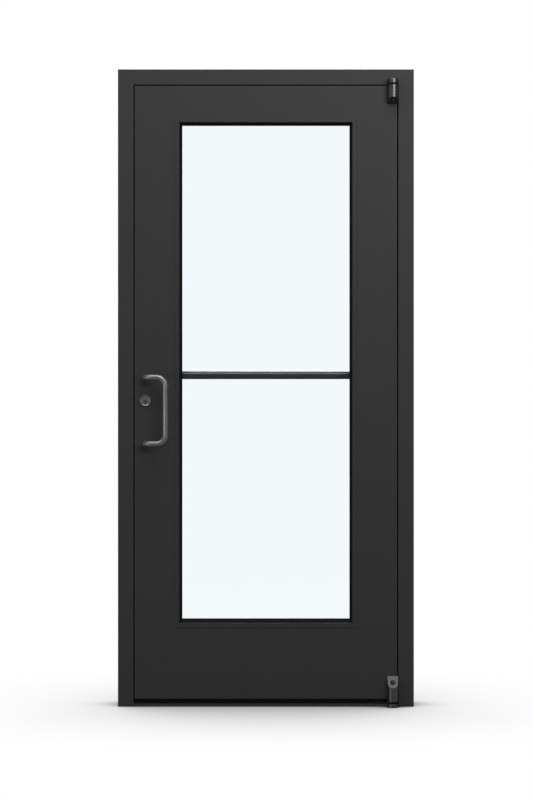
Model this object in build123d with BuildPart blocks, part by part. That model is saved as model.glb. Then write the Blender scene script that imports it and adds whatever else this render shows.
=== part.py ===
from build123d import *
import os
from math import hypot

os.makedirs("parts", exist_ok=True)

# A glazed steel door leaf on offset pivots, in its own folded steel frame.
# Sizes are in millimetres. X runs across the opening to the hinge side, Y from the pull
# side through to the push side, and Z up from the floor.

# The frame: one folded section with two rabbets, mitred at the top corners
opening_width = 914.4
opening_height = 2148.0
frame_face = 54.0
frame_depth = 146.0
frame_sheet = 1.9
frame_bend = 2.4
front_rabbet = 49.2
rear_rabbet = 39.7
stop_height = 15.9
frame_return = 12.7

# The leaf: two folded skins, end channels and a core
side_gap = 3.2
top_gap = 3.0
leaf_bottom = 27.4
leaf_thickness = 44.5
leaf_setback = 1.6
skin_sheet = 1.2
skin_bend = 2.0
channel_sheet = 1.5
channel_leg = 25.0

# The glazing
stile_width = 155.0
top_rail = 126.0
bottom_rail = 262.0
lite_flange = 16.0
lite_overlap = 4.5
lite_sheet = 1.6
lite_leg = 16.0
lite_boss = 9.0
pull_boss_length = 15.0
push_boss_length = 8.0
lite_screws_up = 5
lite_screw_inset_up = 64.8
lite_screws_across = 3
lite_screw_inset_across = 59.0
glass_thickness = 6.4
glass_edge = 1.0
gasket_sight = 9.5
gasket_sight_bottom = 13.5
gasket_setback = 2.5
gasket_slope = 11.0
setting_block_length = 100.0
setting_block_width = 12.0
setting_block_spacing = 260.0

# The offset pivots
pivot_inset = 16.3
pivot_offset = 22.0
knuckle_diameter = 37.0
swing_clearance = 1.0
plate_thickness = 6.35
plate_length = 104.0
plate_width = 31.8
plate_edge = 2.0
neck_width = 25.0
neck_heel = 5.0
pivot_screw_margin = 15.0
pivot_screw_count = 3
backing_thickness = 4.8
backing_margin = 15.0
top_arm_front = 42.7
top_arm_slope = 21.3
top_washer_height = 6.5
frame_arm_height = 15.5
frame_arm_round = 3.0
frame_arm_roof = 3.0
bottom_arm_front = 48.4
bottom_arm_slope = 38.2
base_height = 12.7
base_plate_height = 9.5
base_plate_reach = 62.0
base_floor = 3.2
base_screw_inset = 10.5
base_screw_depth = 13.8
bearing_height = 8.0
bearing_diameter = 28.0
top_pin_diameter = 12.7
bottom_pin_diameter = 15.9
bushing_wall = 2.5
bushing_length = 30.0
top_stem_diameter = 8.0
top_stem_show = 2.4
cap_diameter = 17.1
cap_web = 3.0
cap_thickness = 12.3
cap_socket_diameter = 7.8
cap_socket_depth = 4.3
pin_play = 0.06
pivot_play = 0.4

# The floor strip and the seals
threshold_height = 12.7
threshold_setback = 19.0
threshold_toe = 9.0
threshold_bevel = 12.0
threshold_wall = 3.0
threshold_rib = 20.0
threshold_flutes = 7
threshold_flute_width = 3.0
threshold_flute_depth = 1.0
threshold_flute_pitch = 9.0
threshold_screw_inset = 28.0
threshold_screw_end = 77.2
threshold_screw_spare = 56.0
seal_thickness = 2.8
hinge_seal_thickness = 1.1
seal_round_ratio = 0.4
bottom_seal_width = 36.0
bottom_seal_base = 4.0
bottom_seal_fin = 3.0
bottom_seal_gap = 0.6

# The pull handle and the push bar
pull_above_lock = 81.4
pull_centres = 228.6
pull_offset = 71.7
pull_diameter = 19.0
pull_projection = 54.0
pull_wall_bend = 25.0
pull_grip_bend = 31.0
pull_bolt_diameter = 8.0
pull_bolt_head = 16.0
pull_bolt_head_height = 4.5
pull_bolt_socket_depth = 2.7
pull_bolt_bite = 22.0
push_bar_diameter = 28.6
push_bar_above_lock = 89.8
push_bar_inset = 84.0
push_bar_projection = 60.0
push_bar_bend = 40.0
push_rose_diameter = 46.0
push_rose_height = 7.0
push_rose_round = 2.1
push_stud_diameter = 10.0
push_stud_bite = 25.0
push_stud_end = 2.0
push_backing_size = 60.0

# The lock
lock_height = 1056.7
lock_backset = 37.5
case_depth = 62.0
case_height = 114.0
case_thickness = 25.4
front_height = 152.0
front_thickness = 2.4
case_flange = 3.0
tab_thickness = 3.2
tab_height = 190.0
lock_screw_spacing = 136.0
bolt_throw = 25.4
bolt_length = 60.0
bolt_thickness = 12.7
bolt_height = 25.4
bolt_setback = 0.3
cylinder_diameter = 26.0
collar_diameter = 40.0
collar_front_diameter = 37.0
collar_rim = 1.2
collar_round = 0.5
collar_height = 5.5
collar_dish = 3.0
cylinder_length = 16.0
cylinder_setback = 2.6
plug_diameter = 15.0
plug_drop = 3.0
keyway_width = 3.0
keyway_height = 11.0
keyway_depth = 12.0
keyway_tilt = 20.0
tail_width = 9.0
tail_thickness = 2.4
tail_length = 1.5
turn_rose_diameter = 40.0
turn_rose_height = 5.0
turn_rose_round = 1.5
turn_length = 34.0
turn_width = 9.0
turn_height = 17.0
spindle_diameter = 9.8
strike_height = 124.0
strike_width = 32.0
strike_play = 2.0
strike_screw_spacing = 100.0
strike_screw_length = 5.7
strike_box_spare = 14.0
strike_box_sheet = 1.2
strike_box_flange = 5.0

# What fixes the frame
anchor_count = 4
anchor_end = 150.0
anchor_hole_diameter = 11.0
sleeve_diameter = 21.3
sleeve_length = 32.0
clip_sheet = 2.0
clip_width = 46.0
clip_upright = 30.0
clip_hole_inset = 27.6
clip_hole_spacing = 80.0

# Screws and running clearances
screw_diameter = 6.0
screw_head_diameter = 12.0
small_screw_diameter = 3.9
small_screw_head_diameter = 7.6
socket_ratio = 0.36
socket_depth_ratio = 0.4
fit = 0.3
close_fit = 0.05
slide_fit = 0.15
edge_break = 0.8

# Places that follow from those sizes
opening_half = opening_width / 2
frame_inner_bend = frame_bend - frame_sheet
frame_front = -frame_depth / 2
stop_front = frame_front + front_rabbet
stop_back = frame_front + frame_depth - rear_rabbet
stop_middle = (stop_front + stop_back) / 2
leaf_half = opening_half - side_gap
leaf_top = opening_height - top_gap
leaf_front = frame_front + leaf_setback
leaf_back = leaf_front + leaf_thickness
leaf_middle = (leaf_front + leaf_back) / 2
core_thickness = leaf_thickness - 2 * skin_sheet
core_half = leaf_half - skin_bend
channel_inside = core_thickness - 2 * channel_sheet
lite_half = leaf_half - stile_width
lite_bottom = leaf_bottom + bottom_rail
lite_top = leaf_top - top_rail
lite_middle = (lite_bottom + lite_top) / 2
cutout_margin = lite_flange - lite_overlap
cutout_size = (2 * (lite_half + cutout_margin), lite_top - lite_bottom + 2 * cutout_margin)
knuckle_radius = knuckle_diameter / 2
pivot_x = leaf_half - pivot_inset
pivot_y = leaf_front - pivot_offset
swing_radius = hypot(opening_half - pivot_x, frame_front - pivot_y) - swing_clearance
arm_run = pivot_offset + knuckle_radius
top_arm_middle = top_arm_front + top_arm_slope * knuckle_radius / arm_run
plate_end = leaf_half - skin_sheet - plate_edge
plate_start = plate_end - plate_length
plate_middle = (plate_start + plate_end) / 2
neck_start = plate_end - neck_width
neck_middle = (neck_start + plate_end) / 2
frame_plate_middle = frame_front + (leaf_middle - leaf_front) + fit
frame_arm_bottom = leaf_top + top_washer_height
bottom_arm_bottom = base_height + bearing_height
lock_x = -leaf_half + lock_backset
pull_x = lock_x
grip_x = pull_x + pull_offset
pull_top = lock_height + pull_above_lock
pull_bottom = pull_top - pull_centres
push_bar_height = lock_height + push_bar_above_lock
push_bar_spread = 2 * (leaf_half - push_bar_inset)
case_start = -leaf_half + front_thickness
case_end = case_start + case_flange + case_depth
bolt_start = -leaf_half + bolt_setback
plug_height = lock_height - plug_drop
screw_radius = screw_diameter / 2
anchor_pitch = (opening_height - 2 * anchor_end) / (anchor_count - 1)
anchor_heights = [anchor_end + i * anchor_pitch for i in range(anchor_count)]
pivot_screw_pitch = (plate_length - 2 * pivot_screw_margin) / (pivot_screw_count - 1)
first_pivot_screw = plate_start + pivot_screw_margin
pivot_screw_places = [first_pivot_screw + i * pivot_screw_pitch for i in range(pivot_screw_count)]
lock_screw_heights = [lock_height - lock_screw_spacing / 2, lock_height + lock_screw_spacing / 2]
strike_screw_heights = [lock_height - strike_screw_spacing / 2, lock_height + strike_screw_spacing / 2]
mitre_hinge = Plane(origin=(opening_half, 0, opening_height), z_dir=(-1, 0, 1))
mitre_strike = Plane(origin=(-opening_half, 0, opening_height), z_dir=(1, 0, 1))
hinge_side = Plane(origin=(opening_half, frame_front, 0), x_dir=(1, 0, 0), z_dir=(0, 0, 1))
strike_side = Plane(origin=(-opening_half, frame_front, 0), x_dir=(-1, 0, 0), z_dir=(0, 0, -1))
head_end = Plane(origin=(0, frame_front, opening_height), x_dir=(0, 0, 1), z_dir=(-1, 0, 0))
frame_top = opening_height + frame_face


def upright(depth):
    """A plane that faces the pull side, at this depth, with X across and Z up."""
    return Plane.XZ.offset(-depth)


def save(piece, name):
    """Name a finished piece and write its file."""
    piece.part.label = name
    export_step(piece.part, f"parts/{name}.step")


def frame_section():
    """The folded sheet: outward from the opening first, then back from the front face."""
    with BuildSketch() as section:
        with BuildLine():
            FilletPolyline(
                (frame_face, frame_return),
                (frame_face, 0),
                (0, 0),
                (0, front_rabbet),
                (-stop_height, front_rabbet),
                (-stop_height, frame_depth - rear_rabbet),
                (0, frame_depth - rear_rabbet),
                (0, frame_depth),
                (frame_face, frame_depth),
                (frame_face, frame_depth - frame_return),
                radius=[frame_bend if outer else frame_inner_bend for outer in (1, 1, 0, 1, 1, 0, 1, 1)],
            )
            offset(amount=frame_sheet, side=Side.RIGHT)
        make_face()
    return section.sketch


def flat_screw(diameter, head_diameter, length):
    """A countersunk screw with its head's top at the origin, pointing down, socket driven."""
    head_depth = (head_diameter - diameter) / 2
    with BuildPart() as screw:
        with BuildSketch(Plane.XZ):
            with BuildLine():
                Polyline(
                    (0, 0),
                    (head_diameter / 2, 0),
                    (diameter / 2, -head_depth),
                    (diameter / 2, -length),
                    (0, -length),
                    close=True,
                )
            make_face()
        revolve(axis=Axis.Z)
        with BuildSketch():
            RegularPolygon(radius=diameter * socket_ratio, side_count=6)
        extrude(amount=-diameter * socket_depth_ratio, mode=Mode.SUBTRACT)
    return screw.part


def sunk_hole(diameter, head_diameter, length):
    """The space that a countersunk screw fills, with its running clearance."""
    CounterSinkHole(
        radius=diameter / 2 + close_fit,
        counter_sink_radius=head_diameter / 2 + close_fit,
        depth=length,
        counter_sink_angle=90,
    )


# Frame: each member is the folded section, cut at 45 degrees where it meets the next
with BuildPart() as frame_head:
    with BuildSketch(head_end):
        add(frame_section())
    extrude(amount=opening_half + frame_face, both=True)
    split(bisect_by=mitre_hinge, keep=Keep.TOP)
    split(bisect_by=mitre_strike, keep=Keep.TOP)
    with BuildSketch(Plane.XY.offset(opening_height)):
        with Locations((plate_middle, frame_plate_middle)):
            Rectangle(plate_length + 2 * fit, plate_width + 2 * fit)
        with Locations((neck_middle, (frame_front + frame_plate_middle) / 2)):
            Rectangle(neck_width + 2 * fit, frame_plate_middle - frame_front + 2 * fit)
    extrude(amount=plate_thickness + fit, mode=Mode.SUBTRACT)

with BuildPart() as hinge_jamb:
    with BuildSketch(hinge_side):
        add(frame_section())
    extrude(amount=frame_top)
    split(bisect_by=mitre_hinge, keep=Keep.BOTTOM)
    with BuildSketch(Plane.YZ.offset(opening_half - stop_height)):
        with Locations(*[(stop_middle, height) for height in anchor_heights]):
            Circle(anchor_hole_diameter / 2)
    extrude(amount=2 * frame_sheet, mode=Mode.SUBTRACT)

with BuildPart() as strike_jamb:
    with BuildSketch(strike_side):
        add(frame_section())
    extrude(amount=-frame_top)
    split(bisect_by=mitre_strike, keep=Keep.BOTTOM)
    with BuildSketch(Plane.YZ.offset(-opening_half + stop_height)):
        with Locations(*[(stop_middle, height) for height in anchor_heights]):
            Circle(anchor_hole_diameter / 2)
    extrude(amount=-2 * frame_sheet, mode=Mode.SUBTRACT)
    with BuildSketch(Plane.YZ.offset(-opening_half)):
        with Locations((leaf_middle, lock_height)):
            Rectangle(strike_width + 2 * fit, strike_height + 2 * fit)
    extrude(amount=-frame_sheet, mode=Mode.SUBTRACT)

save(frame_head, "frame_head")
save(hinge_jamb, "hinge_jamb")
save(strike_jamb, "strike_jamb")

# Sleeves behind the soffit, which keep the wall bolts from crushing the section
with BuildPart() as anchor_sleeves:
    for side in (-1, 1):
        with BuildSketch(Plane.YZ.offset(side * (opening_half - stop_height + frame_sheet))):
            with Locations(*[(stop_middle, height) for height in anchor_heights]):
                Circle(sleeve_diameter / 2)
                Circle(anchor_hole_diameter / 2 + fit, mode=Mode.SUBTRACT)
        extrude(amount=side * sleeve_length)
save(anchor_sleeves, "anchor_sleeves")


# Angles welded inside the feet of the jambs, with their flats on the floor
clip_start = opening_half + frame_sheet
clip_reach = frame_depth / 2 - 2 * frame_sheet
with BuildPart() as floor_clips:
    for side in (-1, 1):
        with BuildSketch():
            with Locations((side * (clip_start + clip_width / 2), 0)):
                Rectangle(clip_width, 2 * clip_reach)
            with Locations((side * (clip_start + clip_hole_inset), 0)):
                with GridLocations(0, clip_hole_spacing, 1, 2):
                    Circle(anchor_hole_diameter / 2, mode=Mode.SUBTRACT)
        extrude(amount=clip_sheet)
        with BuildSketch():
            for low, high in ((-clip_reach, stop_front - fit), (stop_back + fit, clip_reach)):
                with Locations((side * (clip_start + clip_sheet / 2), (low + high) / 2)):
                    Rectangle(clip_sheet, high - low)
        extrude(amount=clip_upright)
save(floor_clips, "floor_clips")

# Threshold: an extruded strip with a sloped toe, a fluted top and ribs on the floor
base_plate_back = stop_front - fit
base_plate_start = pivot_x - base_plate_reach
base_plate_end = opening_half - 2 * fit
threshold_back = frame_front + frame_depth - threshold_setback
flute_middle = (frame_front + threshold_back) / 2
threshold_hollows = [
    (frame_front + threshold_bevel, -threshold_rib / 2),
    (threshold_rib / 2, threshold_back - threshold_bevel),
]
threshold_screw_places = [
    (x, y)
    for x in (threshold_screw_end - opening_half, base_plate_start - threshold_screw_spare)
    for y in (frame_front + threshold_screw_inset, threshold_back - threshold_screw_inset)
]

with BuildPart() as threshold:
    with BuildSketch(Plane.YZ):
        with BuildLine():
            Polyline(
                (frame_front, 0),
                (frame_front, threshold_toe),
                (frame_front + threshold_bevel, threshold_height),
                (threshold_back - threshold_bevel, threshold_height),
                (threshold_back, threshold_toe),
                (threshold_back, 0),
                close=True,
            )
        make_face()
        with Locations((flute_middle, threshold_height)):
            with GridLocations(threshold_flute_pitch, 0, threshold_flutes, 1):
                Rectangle(threshold_flute_width, 2 * threshold_flute_depth, mode=Mode.SUBTRACT)
        for low, high in threshold_hollows:
            with Locations((low, 0)):
                Rectangle(
                    high - low,
                    threshold_height - threshold_wall - threshold_flute_depth,
                    align=(Align.MIN, Align.MIN),
                    mode=Mode.SUBTRACT,
                )
    extrude(amount=opening_half - fit, both=True)
    with BuildSketch():
        for side in (-1, 1):
            with Locations((side * opening_half, stop_middle)):
                Rectangle(2 * (stop_height + fit), stop_back - stop_front + 2 * fit)
        with Locations((base_plate_start - fit, base_plate_back + fit)):
            Rectangle(opening_half - base_plate_start + fit, front_rabbet, align=(Align.MIN, Align.MAX))
    extrude(amount=threshold_height, mode=Mode.SUBTRACT)
    with Locations(*[(x, y, threshold_height) for x, y in threshold_screw_places]):
        sunk_hole(screw_diameter, screw_head_diameter, threshold_height)
save(threshold, "threshold")

with BuildPart() as threshold_screws:
    with Locations(*[(x, y, threshold_height) for x, y in threshold_screw_places]):
        add(flat_screw(screw_diameter, screw_head_diameter, threshold_height))
save(threshold_screws, "threshold_screws")

# Seals on the front of the stop: a soft bulb strip each side and one along the head
seal_edge = frame_inner_bend + fit
head_seal_bottom = opening_height - stop_height + frame_bend
hinge_seal_start = opening_half - stop_height + frame_bend


def seal_strip(low, high, thickness):
    """A bulb strip lying on the stop between two corners, given as X and Z."""
    with BuildPart() as strip:
        with BuildSketch(upright(stop_front)):
            with Locations(((low[0] + high[0]) / 2, (low[1] + high[1]) / 2)):
                Rectangle(high[0] - low[0], high[1] - low[1])
        extrude(amount=thickness)
        fillet(strip.faces().sort_by(Axis.Y)[0].edges(), thickness * seal_round_ratio)
    return strip.part


with BuildPart() as seal_head:
    add(seal_strip(
        (-opening_half + seal_edge, head_seal_bottom),
        (pivot_x - pivot_inset, opening_height - seal_edge),
        seal_thickness,
    ))
save(seal_head, "seal_head")

with BuildPart() as seal_strike:
    add(seal_strip(
        (-opening_half + seal_edge, threshold_height + fit),
        (-opening_half + stop_height - frame_bend, head_seal_bottom - fit),
        seal_thickness,
    ))
save(seal_strike, "seal_strike")

with BuildPart() as seal_hinge:
    add(seal_strip(
        (hinge_seal_start, threshold_height + fit),
        (opening_half - seal_edge, opening_height - seal_edge),
        hinge_seal_thickness,
    ))
save(seal_hinge, "seal_hinge")


# Leaf: each skin is a sheet folded back at both edges, and they meet in mid-thickness
def leaf_sheet():
    """The pull side sheet, folded round both edges as far as mid-thickness."""
    with BuildPart() as sheet:
        with BuildSketch(Plane.XY.offset(leaf_bottom)):
            with BuildLine():
                FilletPolyline(
                    (-leaf_half, leaf_middle),
                    (-leaf_half, leaf_front),
                    (leaf_half, leaf_front),
                    (leaf_half, leaf_middle),
                    radius=skin_bend,
                )
                offset(amount=skin_sheet, side=Side.LEFT)
            make_face()
        extrude(amount=leaf_top - leaf_bottom)
        with BuildSketch(upright(leaf_middle)):
            with Locations((0, lite_middle)):
                Rectangle(*cutout_size)
        extrude(amount=leaf_thickness, mode=Mode.SUBTRACT)
        with BuildSketch(Plane.YZ.offset(-leaf_half)):
            with Locations((leaf_middle, lock_height)):
                Rectangle(case_thickness + 2 * fit, front_height + 2 * fit)
        extrude(amount=skin_sheet, mode=Mode.SUBTRACT)
    return sheet.part


pull_posts = [(pull_x, pull_bottom), (pull_x, pull_top)]
push_posts = [(-push_bar_spread / 2, push_bar_height), (push_bar_spread / 2, push_bar_height)]

with BuildPart() as pull_skin:
    add(leaf_sheet())
    with BuildSketch(upright(leaf_middle)):
        with Locations(*pull_posts):
            Circle(pull_bolt_diameter / 2 + fit)
        with Locations((lock_x, lock_height)):
            Circle(cylinder_diameter / 2 + fit)
        for height in (leaf_bottom, leaf_top):
            with Locations((neck_middle, height)):
                Rectangle(neck_width + 2 * fit, 2 * (plate_thickness + fit))
    extrude(amount=leaf_thickness, mode=Mode.SUBTRACT)
save(pull_skin, "pull_skin")

with BuildPart() as push_skin:
    mirror(leaf_sheet(), about=upright(leaf_middle))
    with BuildSketch(upright(leaf_back)):
        with Locations(*pull_posts):
            Circle(pull_bolt_diameter / 2 + fit)
        with Locations(*push_posts):
            Circle(push_stud_diameter / 2 + fit)
        with Locations((lock_x, lock_height)):
            Circle(spindle_diameter / 2 + fit)
    extrude(amount=leaf_thickness / 2, mode=Mode.SUBTRACT)
save(push_skin, "push_skin")


def end_channel():
    """The channel that closes the top of the leaf, cut for the pivot's plate and neck."""
    with BuildPart() as channel:
        with BuildSketch(Plane.YZ):
            with BuildLine():
                FilletPolyline(
                    (leaf_front + skin_sheet, leaf_top - channel_leg),
                    (leaf_front + skin_sheet, leaf_top),
                    (leaf_back - skin_sheet, leaf_top),
                    (leaf_back - skin_sheet, leaf_top - channel_leg),
                    radius=skin_bend,
                )
                offset(amount=channel_sheet, side=Side.RIGHT)
            make_face()
        extrude(amount=core_half, both=True)
        with BuildSketch(Plane.XY.offset(leaf_top)):
            with Locations((plate_middle, leaf_middle)):
                Rectangle(plate_length + 2 * fit, plate_width + 2 * fit)
            with Locations((neck_middle, (leaf_front + leaf_middle) / 2)):
                Rectangle(neck_width + 2 * fit, leaf_thickness / 2)
        extrude(amount=-plate_thickness - fit, mode=Mode.SUBTRACT)
    return channel.part


leaf_centre_height = (leaf_top + leaf_bottom) / 2
across_leaf = Plane.XY.offset(leaf_centre_height)

with BuildPart() as top_channel:
    add(end_channel())
save(top_channel, "top_channel")

with BuildPart() as bottom_channel:
    mirror(end_channel(), about=across_leaf)
save(bottom_channel, "bottom_channel")


def leaf_backing():
    """The plate inside the top channel that the pivot's plate is screwed to."""
    with BuildPart() as backing:
        with BuildSketch(Plane.XY.offset(leaf_top - plate_thickness)):
            with Locations((plate_start - backing_margin, leaf_middle)):
                Rectangle(
                    core_half - plate_start + backing_margin,
                    channel_inside,
                    align=(Align.MIN, Align.CENTER),
                )
            with Locations(*[(x, leaf_middle) for x in pivot_screw_places]):
                Circle(screw_radius + close_fit, mode=Mode.SUBTRACT)
        extrude(amount=-backing_thickness)
    return backing.part


with BuildPart() as top_leaf_reinforcement:
    add(leaf_backing())
save(top_leaf_reinforcement, "top_leaf_reinforcement")

with BuildPart() as bottom_leaf_reinforcement:
    mirror(leaf_backing(), about=across_leaf)
save(bottom_leaf_reinforcement, "bottom_leaf_reinforcement")

# The core: strips of board round the cut-out, parted above and below the lock, and one
# block between the lock's case and the cut-out
case_pocket_half = case_height / 2 + fit
stile_strip = core_half - cutout_size[0] / 2
with BuildPart() as leaf_core:
    with BuildSketch(upright(leaf_back - skin_sheet)):
        with Locations((0, leaf_centre_height)):
            Rectangle(2 * core_half, leaf_top - leaf_bottom - 2 * channel_leg)
        with Locations((0, lite_middle)):
            Rectangle(*cutout_size, mode=Mode.SUBTRACT)
        with Locations((0, lite_middle - cutout_size[1] / 2)):
            Rectangle(2 * core_half, fit, align=(Align.CENTER, Align.MIN), mode=Mode.SUBTRACT)
        with Locations((0, lite_middle + cutout_size[1] / 2)):
            Rectangle(2 * core_half, fit, align=(Align.CENTER, Align.MAX), mode=Mode.SUBTRACT)
        with Locations((-core_half, lock_height - case_pocket_half)):
            Rectangle(stile_strip, fit, align=(Align.MIN, Align.MAX), mode=Mode.SUBTRACT)
        with Locations((-core_half, lock_height + case_pocket_half)):
            Rectangle(stile_strip, fit, align=(Align.MIN, Align.MIN), mode=Mode.SUBTRACT)
        with Locations(*pull_posts):
            Circle(pull_bolt_diameter / 2 + fit, mode=Mode.SUBTRACT)
    extrude(amount=core_thickness)
    with BuildSketch(upright(leaf_back - skin_sheet)):
        with Locations(*push_posts):
            Rectangle(push_backing_size + 2 * fit, push_backing_size + 2 * fit)
    extrude(amount=backing_thickness + fit, mode=Mode.SUBTRACT)
    with BuildSketch(upright(leaf_back - skin_sheet)):
        with Locations(*push_posts):
            Circle(push_stud_diameter / 2 + fit)
    extrude(amount=push_stud_bite, mode=Mode.SUBTRACT)
    with BuildSketch(Plane.YZ.offset(-leaf_half)):
        with Locations((leaf_middle, lock_height)):
            Rectangle(core_thickness, 2 * case_pocket_half)
    extrude(amount=case_end + leaf_half + fit, mode=Mode.SUBTRACT)
    with BuildSketch(Plane.YZ.offset(-leaf_half)):
        with Locations((leaf_middle, lock_height)):
            Rectangle(leaf_thickness, tab_height + 2 * fit)
    extrude(amount=front_thickness + case_flange + tab_thickness + 2 * fit, mode=Mode.SUBTRACT)
save(leaf_core, "leaf_core")

# Glazing: a low folded border on each face, screwed together through the leaf
lite_boss_offset = lite_sheet + lite_boss / 2
lite_size = (2 * lite_half, lite_top - lite_bottom)
lite_pitch_up = (lite_size[1] - 2 * lite_screw_inset_up) / (lite_screws_up - 1)
lite_pitch_across = (lite_size[0] - 2 * lite_screw_inset_across) / (lite_screws_across - 1)
lite_screw_places = []
for side in (-1, 1):
    for i in range(lite_screws_up):
        rise = (i - (lite_screws_up - 1) / 2) * lite_pitch_up
        lite_screw_places.append((side * (lite_half + lite_boss_offset), lite_middle + rise))
    for i in range(lite_screws_across):
        run = (i - (lite_screws_across - 1) / 2) * lite_pitch_across
        lite_screw_places.append((run, lite_middle + side * (lite_size[1] / 2 + lite_boss_offset)))


def lite_border(boss_length):
    """The pull side border: a flange on the skin, a leg to the glass, and screw bosses."""
    with BuildPart() as border:
        with BuildSketch(upright(leaf_front)):
            with Locations((0, lite_middle)):
                Rectangle(lite_size[0] + 2 * lite_flange, lite_size[1] + 2 * lite_flange)
        extrude(amount=lite_sheet)
        chamfer(border.faces().sort_by(Axis.Y)[0].edges(), edge_break)
        with BuildSketch(upright(leaf_front + lite_leg)):
            with Locations((0, lite_middle)):
                Rectangle(lite_size[0] + 2 * lite_sheet, lite_size[1] + 2 * lite_sheet)
        extrude(amount=lite_leg)
        with BuildSketch(upright(leaf_front + boss_length)):
            with Locations(*[(x, z) for x, z in lite_screw_places]):
                Rectangle(lite_boss, lite_boss)
        extrude(amount=boss_length)
        with BuildSketch(upright(leaf_front + leaf_thickness)):
            with Locations((0, lite_middle)):
                Rectangle(*lite_size)
        extrude(amount=2 * leaf_thickness, mode=Mode.SUBTRACT)
        inner_rim = border.faces().sort_by(Axis.Y)[0].edges().filter_by(
            lambda edge: abs(edge.center().X) < lite_half + fit
            and abs(edge.center().Z - lite_middle) < lite_size[1] / 2 + fit
        )
        fillet(inner_rim, edge_break)
    return border.part


lite_screw_length = leaf_thickness + lite_sheet - pull_boss_length / 2

with BuildPart() as lite_frame_pull:
    add(lite_border(pull_boss_length))
    with BuildSketch(upright(leaf_front + pull_boss_length)):
        with Locations(*lite_screw_places):
            Circle(small_screw_diameter / 2 + close_fit)
    extrude(amount=pull_boss_length / 2 + fit, mode=Mode.SUBTRACT)
save(lite_frame_pull, "lite_frame_pull")

push_face = Plane(origin=(0, leaf_back + lite_sheet, 0), x_dir=(1, 0, 0), z_dir=(0, 1, 0))

with BuildPart() as lite_frame_push:
    mirror(lite_border(push_boss_length), about=upright(leaf_middle))
    with Locations(push_face):
        with Locations(*[(x, -z) for x, z in lite_screw_places]):
            sunk_hole(small_screw_diameter, small_screw_head_diameter, 2 * push_boss_length)
save(lite_frame_push, "lite_frame_push")

with BuildPart() as lite_screws:
    with Locations(push_face):
        with Locations(*[(x, -z) for x, z in lite_screw_places]):
            add(flat_screw(small_screw_diameter, small_screw_head_diameter, lite_screw_length))
save(lite_screws, "lite_screws")

glass_size = (lite_size[0] + 2 * glass_edge, lite_size[1] + 2 * glass_edge)
with BuildPart() as glass_pane:
    with BuildSketch(upright(leaf_middle + glass_thickness / 2)):
        with Locations((0, lite_middle)):
            Rectangle(*glass_size)
    extrude(amount=glass_thickness)
    chamfer(glass_pane.edges().filter_by(Axis.X) + glass_pane.edges().filter_by(Axis.Z), edge_break)
save(glass_pane, "glass_pane")

# Wedge gaskets: square against the border, sloping in to the glass, deeper along the sill
gasket_depth = (leaf_thickness - glass_thickness) / 2
sight_size = (lite_size[0] - 2 * gasket_sight, lite_size[1] - gasket_sight - gasket_sight_bottom)
sight_middle = lite_middle + (gasket_sight_bottom - gasket_sight) / 2

with BuildPart() as gasket_pull:
    with BuildSketch(upright(leaf_front + gasket_depth)):
        with Locations((0, lite_middle)):
            Rectangle(*lite_size)
        with Locations((0, sight_middle)):
            Rectangle(*sight_size, mode=Mode.SUBTRACT)
    extrude(amount=gasket_depth - gasket_setback)
    with BuildSketch(upright(leaf_front + gasket_setback)):
        with Locations((0, lite_middle)):
            Rectangle(lite_size[0] - 2 * fit, lite_size[1] - 2 * fit)
    with BuildSketch(upright(leaf_front + gasket_setback + gasket_slope)):
        with Locations((0, sight_middle)):
            Rectangle(*sight_size)
    loft(mode=Mode.SUBTRACT)
save(gasket_pull, "gasket_pull")

with BuildPart() as gasket_push:
    mirror(gasket_pull.part, about=upright(leaf_middle))
save(gasket_push, "gasket_push")


# Rubber blocks between the glass's lower edge and the sill of the cut-out
with BuildPart() as setting_blocks:
    with BuildSketch(upright(leaf_middle + setting_block_width / 2)):
        with Locations((0, lite_bottom - cutout_margin)):
            with GridLocations(setting_block_spacing, 0, 2, 1):
                Rectangle(setting_block_length, cutout_margin - glass_edge, align=(Align.CENTER, Align.MIN))
    extrude(amount=setting_block_width)
save(setting_blocks, "setting_blocks")

# Strip under the leaf: a soft base with two fins that stop just above the threshold
with BuildPart() as bottom_seal:
    with BuildSketch(Plane.YZ):
        with Locations((leaf_middle, leaf_bottom)):
            Rectangle(bottom_seal_width, bottom_seal_base, align=(Align.CENTER, Align.MAX))
            with GridLocations(bottom_seal_width - bottom_seal_fin, 0, 2, 1):
                Rectangle(
                    bottom_seal_fin,
                    leaf_bottom - threshold_height - bottom_seal_gap,
                    align=(Align.CENTER, Align.MAX),
                )
    extrude(amount=leaf_half - skin_sheet, both=True)
save(bottom_seal, "bottom_seal")


# Pivots: round knuckles on one axis in front of the leaf, each on a plate let in flush
def knuckle_plan(back, right):
    """The plan of an arm: round in front, square behind, as far back and right as given."""
    with BuildSketch() as plan:
        with Locations((pivot_x - knuckle_radius, pivot_y)):
            Rectangle(right - pivot_x + knuckle_radius, back - pivot_y, align=(Align.MIN, Align.MIN))
        with Locations((pivot_x, pivot_y)):
            Circle(knuckle_radius)
    return plan.sketch


def door_arm_plan():
    """The plan of an arm on the leaf, rounded behind so that it clears the jamb's corner."""
    with BuildSketch() as plan:
        with Locations((pivot_x, pivot_y)):
            Rectangle(knuckle_radius, pivot_offset, align=(Align.MIN, Align.MIN))
            Circle(swing_radius, mode=Mode.INTERSECT)
            Circle(knuckle_radius)
            Rectangle(knuckle_radius, pivot_offset, align=(Align.MAX, Align.MIN))
    return plan.sketch


def plate_plan(middle, front):
    """The plan of a pivot's plate, and of the neck that joins it to the knuckle."""
    with BuildSketch() as plan:
        with Locations((plate_middle, middle)):
            Rectangle(plate_length, plate_width)
        with Locations((neck_middle, front)):
            Rectangle(neck_width, middle - front, align=(Align.CENTER, Align.MIN))
    return plan.sketch


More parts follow.
